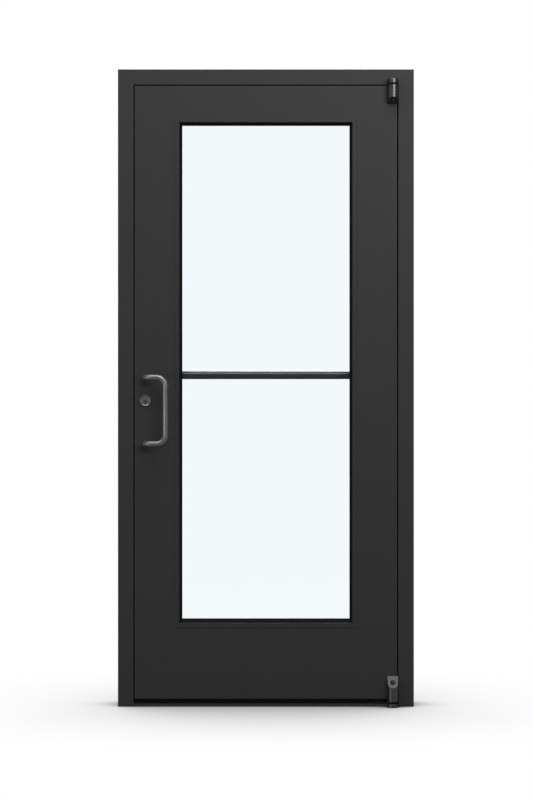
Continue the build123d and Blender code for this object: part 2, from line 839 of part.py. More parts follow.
def sloped_face(part):
    """The face of an arm that is neither flat nor upright."""
    return [
        face
        for face in part.faces().filter_by(GeomType.PLANE)
        if 0.1 < abs(face.normal_at().Z) < 0.99 and abs(face.normal_at().Y) > 0.1
    ][0]


top_slope = Plane(
    origin=(0, leaf_front, leaf_top - top_arm_front - top_arm_slope), z_dir=(0, top_arm_slope, arm_run)
)
bottom_slope = Plane(
    origin=(0, leaf_front, bottom_arm_bottom + bottom_arm_front + bottom_arm_slope),
    z_dir=(0, -bottom_arm_slope, arm_run),
)
top_pin_radius = top_pin_diameter / 2
bottom_pin_radius = bottom_pin_diameter / 2
top_bushing_radius = top_pin_radius + bushing_wall
bottom_bushing_radius = bottom_pin_radius + bushing_wall
frame_pin_bite = frame_arm_height - frame_arm_roof
top_stem_radius = top_stem_diameter / 2
cap_radius = cap_diameter / 2
cap_bottom = bottom_arm_bottom + bushing_length + cap_web
cap_top = cap_bottom + cap_thickness

frame_plate_face = Plane(
    origin=(0, frame_plate_middle, opening_height), x_dir=(1, 0, 0), z_dir=(0, 0, -1)
)
bottom_plate_face = Plane(origin=(0, leaf_middle, leaf_bottom), x_dir=(1, 0, 0), z_dir=(0, 0, -1))

with BuildPart() as top_pivot_frame_arm:
    with BuildSketch(Plane.XY.offset(frame_arm_bottom)):
        add(knuckle_plan(frame_front, pivot_x + knuckle_radius))
    extrude(amount=frame_arm_height)
    fillet(top_pivot_frame_arm.faces().sort_by(Axis.Z)[-1].edges(), frame_arm_round)
    with BuildSketch(Plane.XY.offset(opening_height)):
        add(plate_plan(frame_plate_middle, frame_front - neck_heel))
    extrude(amount=plate_thickness)
    with Locations((pivot_x, pivot_y, frame_arm_bottom + frame_pin_bite)):
        Cylinder(
            top_pin_radius + close_fit,
            frame_pin_bite,
            align=(Align.CENTER, Align.CENTER, Align.MAX),
            mode=Mode.SUBTRACT,
        )
    with Locations(frame_plate_face):
        with Locations(*[(x, 0) for x in pivot_screw_places]):
            sunk_hole(screw_diameter, screw_head_diameter, plate_thickness)
save(top_pivot_frame_arm, "top_pivot_frame_arm")

with BuildPart() as head_reinforcement:
    backing_front = frame_front + 2 * frame_sheet
    backing_length = plate_length + backing_margin + plate_edge
    with BuildSketch(Plane.YZ.offset(plate_start - backing_margin)):
        with Locations((backing_front, opening_height + frame_sheet)):
            Rectangle(
                front_rabbet - 4 * frame_sheet,
                plate_thickness + backing_thickness - frame_sheet,
                align=(Align.MIN, Align.MIN),
            )
        with Locations((frame_plate_middle, opening_height)):
            Rectangle(
                plate_width + 2 * fit, 2 * plate_thickness, mode=Mode.SUBTRACT
            )
    extrude(amount=backing_length)
    with BuildSketch(Plane.XY.offset(opening_height)):
        with Locations((neck_middle, frame_front)):
            Rectangle(neck_width + 2 * fit, 2 * (frame_plate_middle - frame_front))
    extrude(amount=plate_thickness, mode=Mode.SUBTRACT)
    with BuildSketch(Plane.XY.offset(opening_height)):
        with Locations(*[(x, frame_plate_middle) for x in pivot_screw_places]):
            Circle(screw_radius + close_fit)
    extrude(amount=plate_thickness + backing_thickness, mode=Mode.SUBTRACT)
save(head_reinforcement, "head_reinforcement")

with BuildPart() as top_pivot_pin:
    with BuildSketch(Plane.XY.offset(leaf_top - bushing_length + 2 * fit)):
        with Locations((pivot_x, pivot_y)):
            Circle(top_pin_radius)
    extrude(amount=bushing_length - 2 * fit + top_washer_height + frame_pin_bite - fit)
    chamfer(top_pivot_pin.edges().filter_by(GeomType.CIRCLE), edge_break)
save(top_pivot_pin, "top_pivot_pin")

with BuildPart() as top_pivot_washer:
    with BuildSketch(Plane.XY.offset(frame_arm_bottom)):
        with Locations((pivot_x, pivot_y)):
            Circle(bearing_diameter / 2)
            Circle(top_pin_radius + close_fit, mode=Mode.SUBTRACT)
    extrude(amount=-top_washer_height + pivot_play)
save(top_pivot_washer, "top_pivot_washer")

with BuildPart() as top_pivot_door_arm:
    with BuildSketch(Plane.XY.offset(leaf_top)):
        add(door_arm_plan())
    extrude(amount=-top_arm_front - top_arm_slope)
    split(bisect_by=top_slope, keep=Keep.TOP)
    fillet(sloped_face(top_pivot_door_arm).edges(), edge_break)
    with BuildSketch(Plane.XY.offset(leaf_top)):
        add(plate_plan(leaf_middle, leaf_front - edge_break))
    extrude(amount=-plate_thickness)
    with Locations((pivot_x, pivot_y, leaf_top)):
        Hole(top_bushing_radius + close_fit, depth=bushing_length)
        Hole(top_stem_radius + close_fit, depth=top_arm_front + top_arm_slope)
    with Locations(*[(x, leaf_middle, leaf_top) for x in pivot_screw_places]):
        sunk_hole(screw_diameter, screw_head_diameter, plate_thickness)
save(top_pivot_door_arm, "top_pivot_door_arm")

with BuildPart() as top_pivot_bushing:
    with BuildSketch(Plane.XY.offset(leaf_top)):
        with Locations((pivot_x, pivot_y)):
            Circle(top_bushing_radius)
            Circle(top_pin_radius + pin_play, mode=Mode.SUBTRACT)
    extrude(amount=-bushing_length + fit)
save(top_pivot_bushing, "top_pivot_bushing")

with BuildPart() as top_pivot_screw:
    with BuildSketch(Plane.XY.offset(leaf_top - bushing_length - 2 * fit)):
        with Locations((pivot_x, pivot_y)):
            Circle(top_stem_radius)
    extrude(amount=-(top_arm_middle + top_stem_show - bushing_length))
    chamfer(top_pivot_screw.edges().filter_by(GeomType.CIRCLE), edge_break)
save(top_pivot_screw, "top_pivot_screw")

base_screw_places = [
    (base_plate_start + base_screw_inset, frame_front + base_screw_depth),
    (base_plate_start + base_screw_inset, stop_front - base_screw_depth),
    (base_plate_end - pivot_screw_margin, stop_front - base_screw_depth),
]
with BuildPart() as bottom_pivot_base:
    with BuildSketch():
        add(knuckle_plan(frame_front + front_rabbet / 2, base_plate_end))
        with Locations((base_plate_start, base_plate_back)):
            Rectangle(
                base_plate_end - base_plate_start,
                base_plate_back - frame_front - 2 * fit,
                align=(Align.MIN, Align.MAX),
            )
    extrude(amount=base_plate_height)
    with BuildSketch():
        with Locations((pivot_x, pivot_y)):
            Circle(knuckle_radius)
    extrude(amount=base_height)
    fillet(bottom_pivot_base.faces().sort_by(Axis.Z)[-1].edges(), edge_break)
    with Locations((pivot_x, pivot_y, base_height)):
        Hole(bottom_pin_radius + close_fit, depth=base_height - base_floor)
    with Locations(*[(x, y, base_plate_height) for x, y in base_screw_places]):
        sunk_hole(screw_diameter, screw_head_diameter, base_plate_height)
save(bottom_pivot_base, "bottom_pivot_base")

with BuildPart() as bottom_pivot_pin:
    with BuildSketch(Plane.XY.offset(base_floor)):
        with Locations((pivot_x, pivot_y)):
            Circle(bottom_pin_radius)
    extrude(amount=bottom_arm_bottom + bushing_length - 2 * fit - base_floor)
    chamfer(bottom_pivot_pin.edges().filter_by(GeomType.CIRCLE), edge_break)
save(bottom_pivot_pin, "bottom_pivot_pin")

with BuildPart() as bottom_pivot_bearing:
    with BuildSketch(Plane.XY.offset(base_height)):
        with Locations((pivot_x, pivot_y)):
            Circle(bearing_diameter / 2)
            Circle(bottom_pin_radius + close_fit, mode=Mode.SUBTRACT)
    extrude(amount=bearing_height - pivot_play)
save(bottom_pivot_bearing, "bottom_pivot_bearing")

with BuildPart() as bottom_pivot_door_arm:
    with BuildSketch(Plane.XY.offset(bottom_arm_bottom)):
        add(door_arm_plan())
    extrude(amount=bottom_arm_front + bottom_arm_slope)
    split(bisect_by=bottom_slope, keep=Keep.BOTTOM)
    fillet(sloped_face(bottom_pivot_door_arm).edges(), edge_break)
    with BuildSketch(Plane.XY.offset(leaf_bottom)):
        add(plate_plan(leaf_middle, leaf_front - edge_break))
    extrude(amount=plate_thickness)
    with Locations(Plane(origin=(pivot_x, pivot_y, bottom_arm_bottom), z_dir=(0, 0, -1))):
        Hole(bottom_bushing_radius + close_fit, depth=bushing_length)
    with BuildSketch(Plane.XY.offset(cap_bottom)):
        with Locations((pivot_x, pivot_y)):
            Circle(cap_radius + close_fit)
    extrude(amount=bottom_arm_front + bottom_arm_slope, mode=Mode.SUBTRACT)
    with Locations(bottom_plate_face):
        with Locations(*[(x, 0) for x in pivot_screw_places]):
            sunk_hole(screw_diameter, screw_head_diameter, plate_thickness)
save(bottom_pivot_door_arm, "bottom_pivot_door_arm")

with BuildPart() as bottom_pivot_bushing:
    with BuildSketch(Plane.XY.offset(bottom_arm_bottom)):
        with Locations((pivot_x, pivot_y)):
            Circle(bottom_bushing_radius)
            Circle(bottom_pin_radius + pin_play, mode=Mode.SUBTRACT)
    extrude(amount=bushing_length - fit)
save(bottom_pivot_bushing, "bottom_pivot_bushing")

with BuildPart() as bottom_pivot_screw:
    with BuildSketch(Plane.XY.offset(cap_bottom)):
        with Locations((pivot_x, pivot_y)):
            Circle(cap_radius)
    extrude(amount=cap_thickness)
    fillet(bottom_pivot_screw.faces().sort_by(Axis.Z)[-1].edges(), edge_break)
    with BuildSketch(Plane.XY.offset(cap_top)):
        with Locations((pivot_x, pivot_y)):
            RegularPolygon(radius=cap_socket_diameter / 2, side_count=6)
    extrude(amount=-cap_socket_depth, mode=Mode.SUBTRACT)
save(bottom_pivot_screw, "bottom_pivot_screw")

pivot_door_screw_length = plate_thickness + backing_thickness
with BuildPart() as pivot_door_screws:
    with Locations(*[(x, leaf_middle, leaf_top) for x in pivot_screw_places]):
        add(flat_screw(screw_diameter, screw_head_diameter, pivot_door_screw_length))
    with Locations(bottom_plate_face):
        with Locations(*[(x, 0) for x in pivot_screw_places]):
            add(flat_screw(screw_diameter, screw_head_diameter, pivot_door_screw_length))
save(pivot_door_screws, "pivot_door_screws")

pivot_frame_screw_length = plate_thickness + backing_thickness
with BuildPart() as pivot_frame_screws:
    with Locations(frame_plate_face):
        with Locations(*[(x, 0) for x in pivot_screw_places]):
            add(flat_screw(screw_diameter, screw_head_diameter, pivot_frame_screw_length))
    with Locations(*[(x, y, base_plate_height) for x, y in base_screw_places]):
        add(flat_screw(screw_diameter, screw_head_diameter, base_plate_height))
save(pivot_frame_screws, "pivot_frame_screws")

# Pull handle: one bent bar, whose grip stands to one side of its two fixing points
grip_y = leaf_front - pull_projection
with BuildPart() as pull_handle:
    with BuildLine():
        FilletPolyline(
            (pull_x, leaf_front, pull_bottom),
            (pull_x, grip_y, pull_bottom),
            (grip_x, grip_y, pull_bottom),
            (grip_x, grip_y, pull_top),
            (pull_x, grip_y, pull_top),
            (pull_x, leaf_front, pull_top),
            radius=[pull_wall_bend, pull_grip_bend, pull_grip_bend, pull_wall_bend],
        )
    with BuildSketch(Plane(origin=(pull_x, leaf_front, pull_bottom), z_dir=(0, -1, 0))):
        Circle(pull_diameter / 2)
    sweep()
    with BuildSketch(upright(leaf_front)):
        with Locations(*pull_posts):
            Circle(pull_bolt_diameter / 2 + close_fit)
    extrude(amount=pull_bolt_bite + fit, mode=Mode.SUBTRACT)
save(pull_handle, "pull_handle")

with BuildPart() as pull_handle_bolts:
    with BuildSketch(upright(leaf_back + pull_bolt_head_height)):
        with Locations(*pull_posts):
            Circle(pull_bolt_head / 2)
    extrude(amount=pull_bolt_head_height)
    fillet(pull_handle_bolts.faces().group_by(Axis.Y)[-1].edges(), edge_break)
    with BuildSketch(upright(leaf_back + pull_bolt_head_height)):
        with Locations(*pull_posts):
            RegularPolygon(radius=pull_bolt_diameter * socket_ratio, side_count=6)
    extrude(amount=pull_bolt_socket_depth, mode=Mode.SUBTRACT)
    with BuildSketch(upright(leaf_back)):
        with Locations(*pull_posts):
            Circle(pull_bolt_diameter / 2)
    extrude(amount=leaf_thickness + pull_bolt_bite)
save(pull_handle_bolts, "pull_handle_bolts")

# Push bar: one bar bent back at both ends, each end in a rose and on a stud
bar_y = leaf_back + push_bar_projection
with BuildPart() as push_bar:
    with BuildLine():
        FilletPolyline(
            (-push_bar_spread / 2, leaf_back, push_bar_height),
            (-push_bar_spread / 2, bar_y, push_bar_height),
            (push_bar_spread / 2, bar_y, push_bar_height),
            (push_bar_spread / 2, leaf_back, push_bar_height),
            radius=push_bar_bend,
        )
    with BuildSketch(Plane(origin=(-push_bar_spread / 2, leaf_back, push_bar_height), z_dir=(0, 1, 0))):
        Circle(push_bar_diameter / 2)
    sweep()
    with BuildSketch(upright(leaf_back)):
        with Locations(*push_posts):
            Circle(push_stud_diameter / 2 + close_fit)
    extrude(amount=-push_stud_bite - fit, mode=Mode.SUBTRACT)
save(push_bar, "push_bar")


# Turned rings that cover the ends of the push bar
with BuildPart() as push_bar_roses:
    with BuildSketch(upright(leaf_back + push_rose_height)):
        with Locations(*push_posts):
            Circle(push_rose_diameter / 2)
    extrude(amount=push_rose_height)
    fillet(push_bar_roses.faces().group_by(Axis.Y)[-1].edges(), push_rose_round)
    with BuildSketch(upright(leaf_back + push_rose_height)):
        with Locations(*push_posts):
            Circle(push_bar_diameter / 2 + close_fit)
    extrude(amount=push_rose_height, mode=Mode.SUBTRACT)
save(push_bar_roses, "push_bar_roses")

# Plates behind the push skin that the studs are screwed into
with BuildPart() as push_bar_backings:
    with BuildSketch(upright(leaf_back - skin_sheet)):
        with Locations(*push_posts):
            Rectangle(push_backing_size, push_backing_size)
            Circle(push_stud_diameter / 2 + close_fit, mode=Mode.SUBTRACT)
    extrude(amount=backing_thickness)
save(push_bar_backings, "push_bar_backings")

with BuildPart() as push_bar_studs:
    with BuildSketch(upright(leaf_back + push_stud_bite)):
        with Locations(*push_posts):
            Circle(push_stud_diameter / 2)
    extrude(amount=push_stud_bite + skin_sheet + backing_thickness + push_stud_end)
save(push_bar_studs, "push_bar_studs")

# Lock: a case let into the edge, with its bolt, cylinder outside and turn inside
bolt_channel = bolt_thickness + 2 * slide_fit
with BuildPart() as lock_case:
    with BuildSketch(Plane.YZ.offset(case_start)):
        with Locations((leaf_middle, lock_height)):
            Rectangle(case_thickness, front_height)
    extrude(amount=case_flange)
    with BuildSketch(Plane.YZ.offset(case_start)):
        with Locations((leaf_middle, lock_height)):
            Rectangle(case_thickness, case_height)
    extrude(amount=case_end - case_start)
    with BuildSketch(Plane.YZ.offset(case_start)):
        with Locations((leaf_middle, lock_height)):
            Rectangle(bolt_channel, bolt_height + 2 * slide_fit)
    extrude(amount=bolt_start + bolt_length + fit - case_start, mode=Mode.SUBTRACT)
    with BuildSketch(upright(leaf_middle)):
        with Locations((lock_x, lock_height)):
            Circle(cylinder_diameter / 2 + close_fit)
    extrude(amount=case_thickness, mode=Mode.SUBTRACT)
    with BuildSketch(upright(leaf_back)):
        with Locations((lock_x, lock_height)):
            Circle(spindle_diameter / 2 + slide_fit)
    extrude(amount=leaf_thickness / 2, mode=Mode.SUBTRACT)
    with BuildSketch(Plane.YZ.offset(case_start)):
        with Locations(*[(leaf_middle, height) for height in lock_screw_heights]):
            Circle(small_screw_diameter / 2 + close_fit)
    extrude(amount=case_flange, mode=Mode.SUBTRACT)
save(lock_case, "lock_case")

edge_plane = Plane(origin=(-leaf_half, leaf_middle, 0), x_dir=(0, 0, 1), z_dir=(-1, 0, 0))
with BuildPart() as lock_faceplate:
    with BuildSketch(Plane.YZ.offset(-leaf_half)):
        with Locations((leaf_middle, lock_height)):
            Rectangle(case_thickness, front_height)
            Rectangle(bolt_channel + fit, bolt_height + 2 * slide_fit + fit, mode=Mode.SUBTRACT)
    extrude(amount=front_thickness)
    with Locations(edge_plane):
        with Locations(*[(height, 0) for height in lock_screw_heights]):
            sunk_hole(small_screw_diameter, small_screw_head_diameter, front_thickness)
save(lock_faceplate, "lock_faceplate")

tab_start = case_start + case_flange
with BuildPart() as lock_reinforcement:
    with BuildSketch(Plane.YZ.offset(tab_start)):
        with Locations((leaf_middle, lock_height)):
            Rectangle(core_thickness, tab_height)
            Rectangle(case_thickness + 2 * fit, case_height + 2 * fit, mode=Mode.SUBTRACT)
        with Locations(*[(leaf_middle, height) for height in lock_screw_heights]):
            Circle(small_screw_diameter / 2 + close_fit, mode=Mode.SUBTRACT)
    extrude(amount=tab_thickness)
save(lock_reinforcement, "lock_reinforcement")

with BuildPart() as lock_screws:
    with Locations(edge_plane):
        with Locations(*[(height, 0) for height in lock_screw_heights]):
            add(flat_screw(
                small_screw_diameter,
                small_screw_head_diameter,
                front_thickness + case_flange + tab_thickness,
            ))
save(lock_screws, "lock_screws")

with BuildPart() as deadbolt:
    with BuildSketch(Plane.YZ.offset(bolt_start)):
        with Locations((leaf_middle, lock_height)):
            Rectangle(bolt_thickness, bolt_height)
    extrude(amount=bolt_length)
    chamfer(deadbolt.faces().sort_by(Axis.X)[0].edges(), edge_break)
save(deadbolt, "deadbolt")

cylinder_front = leaf_front - collar_height + cylinder_setback
cylinder_back = cylinder_front + cylinder_length
cylinder_axis = Axis((lock_x, leaf_front, lock_height), (0, 1, 0))
with BuildPart() as cylinder_collar:
    with BuildSketch(Plane.XY.offset(lock_height)):
        with BuildLine():
            Polyline(
                (lock_x + cylinder_diameter / 2 + close_fit, leaf_front),
                (lock_x + collar_diameter / 2, leaf_front),
                (lock_x + collar_front_diameter / 2, leaf_front - collar_height),
                (lock_x + collar_front_diameter / 2 - collar_rim, leaf_front - collar_height),
                (lock_x + cylinder_diameter / 2 + close_fit, leaf_front - collar_height + collar_dish),
                close=True,
            )
        make_face()
    revolve(axis=cylinder_axis)
    fillet(cylinder_collar.faces().sort_by(Axis.Y)[0].outer_wire().edges(), collar_round)
save(cylinder_collar, "cylinder_collar")

with BuildPart() as cylinder_body:
    with BuildSketch(upright(cylinder_back)):
        with Locations((lock_x, lock_height)):
            Circle(cylinder_diameter / 2)
        with Locations((lock_x, plug_height)):
            Circle(plug_diameter / 2 + pin_play, mode=Mode.SUBTRACT)
    extrude(amount=cylinder_length)
save(cylinder_body, "cylinder_body")

with BuildPart() as key_plug:
    with BuildSketch(upright(cylinder_back)):
        with Locations((lock_x, plug_height)):
            Circle(plug_diameter / 2)
    extrude(amount=cylinder_length)
    with BuildSketch(upright(cylinder_back + tail_length)):
        with Locations((lock_x, plug_height)):
            Rectangle(tail_width, tail_thickness)
    extrude(amount=tail_length)
    with BuildSketch(upright(cylinder_front)):
        with Locations((lock_x, plug_height)):
            Rectangle(keyway_width, keyway_height, rotation=keyway_tilt)
    extrude(amount=-keyway_depth, mode=Mode.SUBTRACT)
save(key_plug, "key_plug")

rose_face = leaf_back + turn_rose_height
with BuildPart() as thumbturn_rose:
    with BuildSketch(upright(rose_face)):
        with Locations((lock_x, lock_height)):
            Circle(turn_rose_diameter / 2)
    extrude(amount=turn_rose_height)
    fillet(thumbturn_rose.faces().sort_by(Axis.Y)[-1].edges(), turn_rose_round)
    with BuildSketch(upright(rose_face)):
        with Locations((lock_x, lock_height)):
            Circle(spindle_diameter / 2 + pin_play)
    extrude(amount=turn_rose_height, mode=Mode.SUBTRACT)
save(thumbturn_rose, "thumbturn_rose")

with BuildPart() as thumbturn:
    with BuildSketch(upright(rose_face + fit + turn_height)):
        with Locations((lock_x, lock_height)):
            SlotOverall(turn_length, turn_width, rotation=90)
    extrude(amount=turn_height)
    fillet(thumbturn.faces().sort_by(Axis.Y)[-1].edges(), edge_break)
    with BuildSketch(upright(rose_face + fit)):
        with Locations((lock_x, lock_height)):
            Circle(spindle_diameter / 2)
    extrude(amount=rose_face + fit - leaf_middle - bolt_channel / 2 - 2 * fit)
save(thumbturn, "thumbturn")

# Keep in the strike jamb: a plate let in flush, and a box behind it for the bolt
strike_hole = (bolt_thickness + 2 * strike_play, bolt_height + 2 * strike_play)
strike_plane = Plane(origin=(-opening_half, leaf_middle, 0), x_dir=(0, 0, -1), z_dir=(1, 0, 0))
strike_back = -opening_half - frame_sheet
strike_box_depth = strike_back - bolt_start + bolt_throw + strike_box_spare
with BuildPart() as strike_plate:
    with BuildSketch(Plane.YZ.offset(-opening_half)):
        with Locations((leaf_middle, lock_height)):
            Rectangle(strike_width, strike_height)
            Rectangle(*strike_hole, mode=Mode.SUBTRACT)
    extrude(amount=-frame_sheet)
    with Locations(strike_plane):
        with Locations(*[(-height, 0) for height in strike_screw_heights]):
            sunk_hole(small_screw_diameter, small_screw_head_diameter, frame_sheet)
save(strike_plate, "strike_plate")

with BuildPart() as strike_box:
    with BuildSketch(Plane.YZ.offset(strike_back)):
        with Locations((leaf_middle, lock_height)):
            Rectangle(strike_width + 2 * strike_box_flange, strike_height + 2 * strike_box_flange)
        with Locations(*[(leaf_middle, height) for height in strike_screw_heights]):
            Circle(small_screw_diameter / 2 + close_fit, mode=Mode.SUBTRACT)
    extrude(amount=-strike_box_sheet)
    with BuildSketch(Plane.YZ.offset(strike_back)):
        with Locations((leaf_middle, lock_height)):
            Rectangle(strike_hole[0] + 2 * strike_play + 2 * strike_box_sheet,
                      strike_hole[1] + 2 * strike_play + 2 * strike_box_sheet)
    extrude(amount=-strike_box_depth)
    with BuildSketch(Plane.YZ.offset(strike_back)):
        with Locations((leaf_middle, lock_height)):
            Rectangle(strike_hole[0] + 2 * strike_play, strike_hole[1] + 2 * strike_play)
    extrude(amount=-strike_box_depth + strike_box_sheet, mode=Mode.SUBTRACT)
save(strike_box, "strike_box")

with BuildPart() as strike_screws:
    with Locations(strike_plane):
        with Locations(*[(-height, 0) for height in strike_screw_heights]):
            add(flat_screw(small_screw_diameter, small_screw_head_diameter, strike_screw_length))
save(strike_screws, "strike_screws")
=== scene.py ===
import math

import bpy
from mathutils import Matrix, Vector


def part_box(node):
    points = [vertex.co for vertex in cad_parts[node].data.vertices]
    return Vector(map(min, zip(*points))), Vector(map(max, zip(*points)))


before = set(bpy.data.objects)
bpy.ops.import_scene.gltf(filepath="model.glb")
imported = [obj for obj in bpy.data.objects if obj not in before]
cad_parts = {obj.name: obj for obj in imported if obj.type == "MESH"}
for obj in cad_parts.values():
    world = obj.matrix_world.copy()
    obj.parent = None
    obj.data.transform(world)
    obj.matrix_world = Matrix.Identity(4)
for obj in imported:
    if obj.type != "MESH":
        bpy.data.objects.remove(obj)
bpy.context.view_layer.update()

# Frame: folded 1.9 mm steel sheet, two jambs and a head mitred at the corners.
# It is sprayed with one matte charcoal powder coat, which keeps a fine orange peel
# and clouds very slightly over a long face.


def texture_group(name, inputs):
    """A node group for one kind of finish, with the sockets at both its ends."""
    tree = bpy.data.node_groups.new(name, "ShaderNodeTree")
    for label, kind, value in inputs:
        socket = tree.interface.new_socket(label, in_out="INPUT", socket_type="NodeSocket" + kind)
        socket.default_value = value
    for label, kind in (("Colour", "Color"), ("Roughness", "Float"), ("Normal", "Vector")):
        tree.interface.new_socket(label, in_out="OUTPUT", socket_type="NodeSocket" + kind)
    return tree, tree.nodes.new("NodeGroupInput").outputs, tree.nodes.new("NodeGroupOutput").inputs


def put(tree, kind, links=None, **settings):
    """A node of that kind in the tree: settings are its own, links feed its inputs."""
    node = tree.nodes.new("ShaderNode" + kind)
    for name, value in settings.items():
        setattr(node, name, value)
    for name, source in (links or {}).items():
        if isinstance(source, bpy.types.NodeSocket):
            tree.links.new(source, node.inputs[name])
        else:
            node.inputs[name].default_value = source
    return node


def reckon(tree, operation, *terms):
    """The result of a Math node on those sockets and numbers."""
    return put(tree, "Math", dict(enumerate(terms)), operation=operation).outputs[0]


def noise(tree, place, scale, detail, roughness=0.5):
    """A cloudy value between 0 and 1 that varies from place to place."""
    links = {"Vector": place, "Scale": scale, "Detail": detail, "Roughness": roughness}
    return put(tree, "TexNoise", links).outputs["Fac"]


def shaded(tree, mask, amount, colour):
    """The colour, lighter where the mask is above nought and darker where it is below."""
    shade = reckon(tree, "MULTIPLY_ADD", mask, amount, 1.0)
    return put(tree, "HueSaturation", {"Value": shade, "Color": colour}).outputs[0]


def bumped(tree, height, strength, distance):
    """The surface's normal, tilted by a height in metres."""
    links = {"Height": height, "Strength": strength, "Distance": distance}
    return put(tree, "Bump", links).outputs["Normal"]


def give(tree, ends, colour, roughness, normal):
    """Link what a group has made to the sockets that it puts out."""
    for label, source in (("Colour", colour), ("Roughness", roughness), ("Normal", normal)):
        tree.links.new(source, ends[label])


powder_coat, coat_in, coat_out = texture_group(
    "powder_coat",
    [
        ("Colour", "Color", (0.03, 0.03, 0.03, 1)),
        ("Clouding", "Float", 0.05),
        ("Cloud scale", "Float", 1.6),
        ("Roughness", "Float", 0.5),
        ("Roughness spread", "Float", 0.06),
        ("Peel scale", "Float", 420.0),
        ("Peel height", "Float", 0.1),
    ],
)
place = put(powder_coat, "TexCoord").outputs["Object"]
cloud = noise(powder_coat, place, scale=coat_in["Cloud scale"], detail=4.0, roughness=0.6)
centred = reckon(powder_coat, "SUBTRACT", cloud, 0.5)
tinted = shaded(powder_coat, centred, amount=coat_in["Clouding"], colour=coat_in["Colour"])
matt = reckon(powder_coat, "MULTIPLY_ADD", centred, coat_in["Roughness spread"], coat_in["Roughness"])
peel = noise(powder_coat, place, scale=coat_in["Peel scale"], detail=2.0)
peeled = bumped(powder_coat, peel, strength=coat_in["Peel height"], distance=0.0004)
give(powder_coat, coat_out, tinted, matt, peeled)


def finished(name, texture, colour, metallic=0.0, specular=0.5, **values):
    """A material of its own for one finish: the values go to its texture's inputs."""
    material = bpy.data.materials.new(name)
    material.use_nodes = True
    tree = material.node_tree
    shader = tree.nodes["Principled BSDF"]
    shader.inputs["Metallic"].default_value = metallic
    shader.inputs["Specular IOR Level"].default_value = specular
    face = put(tree, "Group", node_tree=texture)
    face.inputs["Colour"].default_value = (*colour, 1)
    for label, value in values.items():
        face.inputs[label.replace("_", " ").capitalize()].default_value = value
    for given, taken in (("Colour", "Base Color"), ("Roughness", "Roughness"), ("Normal", "Normal")):
        tree.links.new(face.outputs[given], shader.inputs[taken])
    return material


def dress(material, *names):
    """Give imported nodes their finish."""
    for name in names:
        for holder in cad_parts[name].material_slots:
            holder.material = material


charcoal = (0.0215, 0.0215, 0.022)
frame_paint = finished("frame_paint", powder_coat, charcoal, specular=0.34, roughness=0.5)
dress(frame_paint, "frame_head", "hinge_jamb", "strike_jamb")

# Leaf: two folded steel skins with channels at the top and bottom edges, and the low
# border round the glass. All take the frame's powder coat, sprayed before they meet.

leaf_paint = finished(
    "leaf_paint", powder_coat, charcoal, specular=0.34, roughness=0.48, cloud_scale=1.1,
)
dress(leaf_paint, "pull_skin", "push_skin", "top_channel", "bottom_channel")
border_paint = finished(
    "border_paint", powder_coat, charcoal, specular=0.36, roughness=0.44, cloud_scale=2.3,
)
dress(border_paint, "lite_frame_pull", "lite_frame_push")

# Pulls and pivots: steel bars and cast arms with a satin dark plating, glossier than the
# door, so that they carry a bright line. The washer and bearing between arms are black
# plastic, coloured darker still as a painted shade for the gap between the arms.

hardware_coat = finished(
    "hardware_coat", powder_coat, (0.23, 0.23, 0.233), metallic=0.85, roughness=0.37,
    clouding=0.12, cloud_scale=24.0, peel_scale=900.0, peel_height=0.04,
)
dress(hardware_coat, "pull_handle", "thumbturn_rose", "thumbturn")
bar_coat = finished(
    "bar_coat", powder_coat, (0.052, 0.052, 0.053), metallic=0.55, roughness=0.22,
    clouding=0.12, cloud_scale=24.0, peel_scale=900.0, peel_height=0.04,
)
dress(bar_coat, "push_bar", "push_bar_roses")
pivot_coat = finished(
    "pivot_coat", powder_coat, (0.118, 0.118, 0.12), metallic=0.95, roughness=0.33,
    clouding=0.15, cloud_scale=30.0, peel_scale=700.0, peel_height=0.06,
)
dress(
    pivot_coat,
    "top_pivot_frame_arm", "top_pivot_door_arm", "bottom_pivot_base", "bottom_pivot_door_arm",
)
# Washer and bearing: black plastic, darkened further as a painted shade for the gap between the pivot
# arms.
bearing_black_and_painted_shade = finished(
    "bearing_black_and_painted_shade", powder_coat, (0.004, 0.004, 0.004), specular=0.15, roughness=0.6,
)
dress(bearing_black_and_painted_shade, "top_pivot_washer", "bottom_pivot_bearing")

# Lock: a turned cylinder in a tapered collar, with a rolled edge plate and its keep in
# the jamb. All are plated dark, and turning marks run round the cylinder's axis.

turned_face, turned_in, turned_out = texture_group(
    "turned_face",
    [
        ("Colour", "Color", (0.05, 0.05, 0.05, 1)),
        ("Centre", "Vector", (0.0, 0.0, 0.0)),
        ("Ring pitch", "Float", 0.0006),
        ("Ring depth", "Float", 0.15),
        ("Roughness", "Float", 0.35),
    ],
)
across_the_axis = (1.0, 0.0, 1.0)
ring_roughness = 0.08
place = put(turned_face, "TexCoord").outputs["Object"]
away = put(turned_face, "VectorMath", {0: place, 1: turned_in["Centre"]}, operation="SUBTRACT").outputs[0]
flat = put(turned_face, "VectorMath", {0: away, 1: across_the_axis}, operation="MULTIPLY").outputs[0]
reach = put(turned_face, "VectorMath", {0: flat}, operation="LENGTH").outputs["Value"]
rings = reckon(turned_face, "DIVIDE", reach, turned_in["Ring pitch"])
wave = reckon(turned_face, "SINE", reckon(turned_face, "MULTIPLY", rings, 2 * math.pi))
speck = noise(turned_face, place, scale=700.0, detail=3.0)
mixed = reckon(turned_face, "MULTIPLY", wave, speck)
tinted = shaded(turned_face, mixed, amount=0.18, colour=turned_in["Colour"])
matt = reckon(turned_face, "MULTIPLY_ADD", mixed, ring_roughness, turned_in["Roughness"])
grooved = bumped(turned_face, mixed, strength=turned_in["Ring depth"], distance=0.0001)
give(turned_face, turned_out, tinted, matt, grooved)

